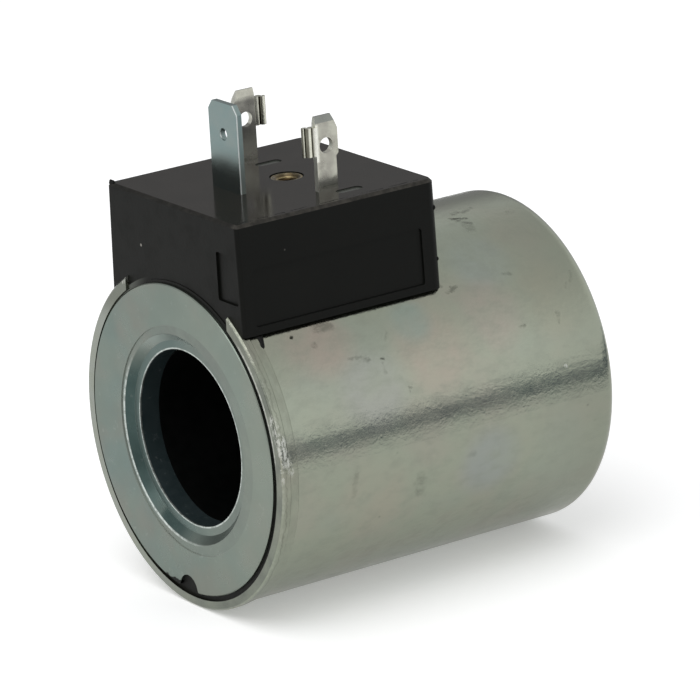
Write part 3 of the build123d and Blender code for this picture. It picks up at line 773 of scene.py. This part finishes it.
def wrapped_tape():
    """Yellow insulating tape with the edges of its laps."""
    s = Shader("tape")
    lap = 7 * MM
    slant = 0.12
    tone = s.noise(3 * MM, 3.0, 0.55)
    colour = s.mix(tone, srgb(212, 178, 74), srgb(226, 196, 104))
    laps = s.math("FRACT", s.times(s.plus(s.y, s.times(s.x, slant)), 1 / lap))
    normal = s.bump(s.step(laps, 0.94, 1.0), 0.05 * MM)
    return s.finish(colour, s.step(tone, 0.3, 0.7, 0.32, 0.42), normal)


def woven_sleeve():
    """Varnished glass-fibre sleeving with its braid."""
    s = Shader("sleeve_glass")
    along = s.times(s.y, 9000.0)
    around = s.times(s.angle, 60.0)
    weave = s.times(s.math("SINE", s.plus(along, around)), s.math("SINE", s.minus(along, around)))
    colour = s.mix(s.step(weave, -0.6, 0.6), srgb(196, 190, 166), srgb(226, 222, 202))
    return s.finish(colour, s.step(weave, -1.0, 1.0, 0.6, 0.5), s.bump(weave, 0.04 * MM))


def soft_metal(name, dark, light, low_roughness, high_roughness):
    """Plain steel or solder of the inner parts."""
    s = Shader(name)
    tone = s.noise(1.5 * MM, 4.0, 0.6)
    normal = s.bump(s.noise(0.5 * MM, 3.0, 0.5), 0.012 * MM)
    roughness = s.step(tone, 0.3, 0.7, low_roughness, high_roughness)
    return s.finish(s.mix(tone, dark, light), roughness, normal, metallic=1.0)


def give(node, material):
    """Puts one material in all of a node's slots."""
    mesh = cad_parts[node].data
    if not mesh.materials:
        mesh.materials.append(material)
    for index in range(len(mesh.materials)):
        mesh.materials[index] = material


def dress_solids():
    """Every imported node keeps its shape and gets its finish; the finishes come back by node."""
    tin = bright_tin()
    copper = wound_copper()
    sleeve = woven_sleeve()
    solder = soft_metal("solder", srgb(176, 178, 180), srgb(212, 214, 214), 0.18, 0.3)
    finishes = {
        "steel_can": passivated_can(),
        "end_plate": passivated_plate(),
        "rear_yoke_ring": soft_metal("bare_steel", srgb(120, 120, 118), srgb(160, 160, 156), 0.3, 0.45),
        "bobbin": plain_moulding("bobbin_plastic", srgb(3, 4, 4), srgb(7, 8, 7), 0.1),
        "winding": copper,
        "winding_tape": wrapped_tape(),
        "contact_1": tin,
        "contact_2": tin,
        "earth_terminal": blue_zinc_strip(),
        "threaded_insert": turned_brass(),
        "start_lead": copper,
        "finish_lead": copper,
        "start_sleeve": sleeve,
        "finish_sleeve": sleeve,
        "solder_joint_1": solder,
        "solder_joint_2": solder,
        "terminal_carrier": plain_moulding("carrier_plastic", srgb(30, 30, 31), srgb(44, 44, 45)),
        "encapsulation": moulded_plastic(),
    }
    for node, material in finishes.items():
        give(node, material)
    return finishes


def new_piece(name, mesh_builder, material):
    """A mesh piece built by a function on a bmesh, riding on the part."""
    mesh = bpy.data.meshes.new(name)
    work = bmesh.new()
    mesh_builder(work)
    bmesh.ops.recalc_face_normals(work, faces=work.faces)
    work.to_mesh(mesh)
    work.free()
    piece = bpy.data.objects.new(name, mesh)
    bpy.context.scene.collection.objects.link(piece)
    mesh.materials.append(material)
    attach(piece, "root")


def build_thread(work):
    """The insert's internal thread: a helical ridge that stands in from the core's wall."""
    steps_per_turn = 40
    foot_r = thread_core_r + 0.02 * MM
    crest_r = thread_core_r - thread_height
    half_foot = 0.46 * thread_pitch
    half_crest = 0.06 * thread_pitch
    profile = ((foot_r, -half_foot), (crest_r, -half_crest), (crest_r, half_crest), (foot_r, half_foot))
    rings = []
    for step in range(steps_per_turn * thread_turns + 1):
        turn = step / steps_per_turn
        angle = 2 * math.pi * turn
        level = thread_top - turn * thread_pitch
        ring = []
        for radius, offset in profile:
            ring.append(work.verts.new((
                screw_x + radius * math.cos(angle),
                screw_y + radius * math.sin(angle),
                level + offset,
            )))
        rings.append(ring)
    for lower, upper in zip(rings, rings[1:]):
        for index in range(len(profile)):
            following = (index + 1) % len(profile)
            work.faces.new((lower[index], lower[following], upper[following], upper[index]))
    work.faces.new(rings[0])
    work.faces.new(rings[-1])


def build_drip(work):
    """A tongue of flash that ran down the can's front from the head's lower edge."""
    middle_y = front_y + 2.75 * MM
    top_degrees = 49.0
    drop_degrees = 5.6
    half_width = 0.85 * MM
    least_share = 0.06
    waist = 0.45
    sway_reach = 0.12 * MM
    lift = 0.34 * MM
    end_lift_share = 0.35
    root_depth = 0.05 * MM
    rows = 12
    columns = 10
    outer = []
    inner = []
    for row in range(rows + 1):
        share = row / rows
        narrowing = math.sqrt(max(0.0, 1 - share ** 1.6)) * (1 - waist * math.sin(math.pi * share))
        width = half_width * max(narrowing, least_share)
        sway = sway_reach * math.sin(5.0 * share)
        degrees = top_degrees - drop_degrees * share
        crown = lift * (end_lift_share + (1 - end_lift_share) * math.sqrt(max(0.0, 1 - share ** 3)))
        outer_row = []
        inner_row = []
        for column in range(columns + 1):
            across = 2 * column / columns - 1
            y = middle_y + sway + width * across
            round_off = math.sqrt(max(0.0, 1 - across ** 2))
            outer_row.append(work.verts.new(on_can(y, degrees, crown * round_off)))
            inner_row.append(work.verts.new(on_can(y, degrees, -root_depth)))
        outer.append(outer_row)
        inner.append(inner_row)
    close_sheet(work, outer, inner)


def close_sheet(work, outer, inner):
    """Faces over two matching grids of points and round their common edge."""
    rows = len(outer) - 1
    columns = len(outer[0]) - 1
    for row in range(rows):
        for column in range(columns):
            for grid in (outer, inner):
                work.faces.new((grid[row][column], grid[row][column + 1],
                                grid[row + 1][column + 1], grid[row + 1][column]))
    for row in range(rows):
        for column in (0, columns):
            work.faces.new((outer[row][column], outer[row + 1][column],
                            inner[row + 1][column], inner[row][column]))
    for column in range(columns):
        for row in (0, rows):
            work.faces.new((outer[row][column], outer[row][column + 1],
                            inner[row][column + 1], inner[row][column]))


def build_lug(work):
    """A tab of flash that stands up at the head's top front left corner."""
    half_length = 0.62 * MM
    half_thickness = 0.2 * MM
    height = 0.62 * MM
    upper_length = 0.8
    upper_thickness = 0.55
    centre_x = head_half_width - 0.55 * MM
    centre_y = head_front + 0.42 * MM
    foot_z = head_top - 0.32 * MM
    bmesh.ops.create_cube(work, size=1.0)
    for point in work.verts:
        upper = point.co.z > 0
        x = point.co.x * 2 * half_length * (upper_length if upper else 1.0)
        y = point.co.y * 2 * half_thickness * (upper_thickness if upper else 1.0)
        point.co = (x - centre_x, y + centre_y, foot_z + height * (point.co.z + 0.5))
    bmesh.ops.bevel(work, geom=work.edges[:], offset=0.07 * MM, segments=3, affect="EDGES")


def build_nubs(work):
    """Two small nubs of flash on the head's rear right edge, each with its level and radius."""
    inset = 0.42 * MM
    bumpiness = 0.16
    waves_along_x = 9000
    waves_along_z = 7000
    upright = 1.5
    for level, radius in ((27.2 * MM, 0.24 * MM), (20.5 * MM, 0.2 * MM)):
        wall_x = head_half_width + (head_top - level) * math.tan(head_draft)
        centre = Vector((wall_x - inset, head_rear - inset, level))
        made = bmesh.ops.create_icosphere(work, subdivisions=3, radius=radius)
        for point in made["verts"]:
            bumpy = 1 + bumpiness * math.sin(waves_along_x * point.co.x + waves_along_z * point.co.z)
            point.co = centre + Vector((point.co.x * bumpy, point.co.y * bumpy, point.co.z * upright))


def make_floor():
    """A pale round table; it is seen white, with the shadow kept, and ends close on the right."""
    radius = 0.36
    shift = 0.2
    pale_grey = (0.62, 0.62, 0.61, 1.0)
    glow = 0.283
    glow_for_camera = 0.26
    work = bmesh.new()
    bmesh.ops.create_circle(work, cap_ends=True, segments=128, radius=radius)
    mesh = bpy.data.meshes.new("floor")
    work.to_mesh(mesh)
    work.free()
    floor = bpy.data.objects.new("floor", mesh)
    bpy.context.scene.collection.objects.link(floor)
    floor.location = (-wall_side.x * shift, -wall_side.y * shift, floor_z)

    material = bpy.data.materials.new("floor")
    material.use_nodes = True
    material.node_tree.nodes.clear()
    shader = Nodes(material.node_tree)
    seen, from_camera = shader.light_path()
    matt = shader.add("BsdfDiffuse")
    lift = shader.add("Emission")
    both = shader.add("AddShader")
    shader.link(shader.mix(from_camera, pale_grey, WHITE), matt.inputs["Color"])
    strength = shader.times(shader.blend(from_camera, glow, glow_for_camera), seen)
    shader.link(strength, lift.inputs["Strength"])
    shader.link(matt.outputs[0], both.inputs[0])
    shader.link(lift.outputs[0], both.inputs[1])
    shader.link(both.outputs[0], shader.add("OutputMaterial").inputs["Surface"])
    mesh.materials.append(material)


def tent_colour(sky):
    """White round the horizon, greyer overhead and on the left, and dark under the table on the right."""
    direction = sky.add("TexCoord").outputs["Generated"]
    height = sky.axes(direction)[Z_AXIS]
    side = sky.vector("DOT_PRODUCT", direction, wall_side)
    overhead = sky.step(height, 0.3, 0.85, 1.0, 0.7)
    left_level = sky.times(sky.step(height, 0.255, 0.3, 0.24, 0.345),
                           sky.step(height, 0.3, 0.55, 1.0, 2.32))
    level = sky.times(overhead, sky.blend(sky.step(side, -0.55, 0.6), left_level, 1.0))
    grey = sky.add("CombineColor")
    for channel in ("Red", "Green", "Blue"):
        sky.link(level, grey.inputs[channel])

    below = sky.step(height, -0.03, -0.012, 1.0, 0.0)
    not_deep = sky.step(height, -0.2, -0.14)
    dark = sky.times(below, not_deep, sky.step(side, 0.35, 0.6))
    return sky.mix(dark, grey.outputs[0], (0.064, 0.093, 0.135, 1.0))


def make_world():
    """A light tent that shines evenly, is mirrored with its tones, and is seen white."""
    world = bpy.data.worlds.new("tent")
    bpy.context.scene.world = world
    world.use_nodes = True
    world.node_tree.nodes.clear()
    sky = Nodes(world.node_tree)
    even_light = (0.66, 0.665, 0.67, 1.0)
    seen, from_camera = sky.light_path()
    lighting = sky.mix(seen, even_light, tent_colour(sky))
    background = sky.add("Background")
    sky.link(sky.mix(from_camera, lighting, WHITE), background.inputs["Color"])
    sky.link(background.outputs[0], sky.add("OutputWorld").inputs["Surface"])


def add_softbox(name, place, size, energy):
    """A square area lamp that faces the part."""
    lamp = bpy.data.lights.new(name, "AREA")
    lamp.shape = "SQUARE"
    lamp.size = size
    lamp.energy = energy
    holder = bpy.data.objects.new(name, lamp)
    bpy.context.scene.collection.objects.link(holder)
    holder.location = place
    aim = Vector((0, 0, 0)) - Vector(place)
    holder.rotation_euler = aim.to_track_quat("-Z", "Y").to_euler()


def make_camera():
    """The photograph's view: a long lens from the right of the front, a little above, rolled."""
    azimuth = math.radians(55.84)
    elevation = math.radians(17.32)
    roll = math.radians(-3.32)
    distance = 0.68133
    target = Vector((2.04 * MM, -1.4 * MM, 6.81 * MM))
    focal_pixels = 5294.7
    frame_pixels = 700
    back = Vector((math.sin(azimuth) * math.cos(elevation),
                   -math.cos(azimuth) * math.cos(elevation),
                   math.sin(elevation)))
    right = Vector((math.cos(azimuth), math.sin(azimuth), 0))
    up = back.cross(right)
    rolled_right = math.cos(roll) * right + math.sin(roll) * up
    rolled_up = -math.sin(roll) * right + math.cos(roll) * up
    data = bpy.data.cameras.new("camera")
    data.sensor_fit = "HORIZONTAL"
    data.sensor_width = 36
    data.lens = focal_pixels / frame_pixels * data.sensor_width
    data.clip_start = 0.01
    data.clip_end = 10
    camera = bpy.data.objects.new("camera", data)
    bpy.context.scene.collection.objects.link(camera)
    turn = Matrix((rolled_right, rolled_up, back)).transposed().to_4x4()
    camera.matrix_world = Matrix.Translation(target + back * distance) @ turn
    bpy.context.scene.camera = camera


finishes = dress_solids()
new_piece("insert_thread", build_thread, finishes["threaded_insert"])
new_piece("flash_drip", build_drip, finishes["encapsulation"])
new_piece("flash_lug", build_lug, finishes["encapsulation"])
new_piece("flash_nubs", build_nubs, finishes["encapsulation"])
make_floor()
make_world()
add_softbox("key_light", place=(0.3, -0.6, 1.2), size=1.2, energy=7.0)
make_camera()
bpy.context.scene.view_settings.view_transform = "Standard"

bpy.context.view_layer.update()
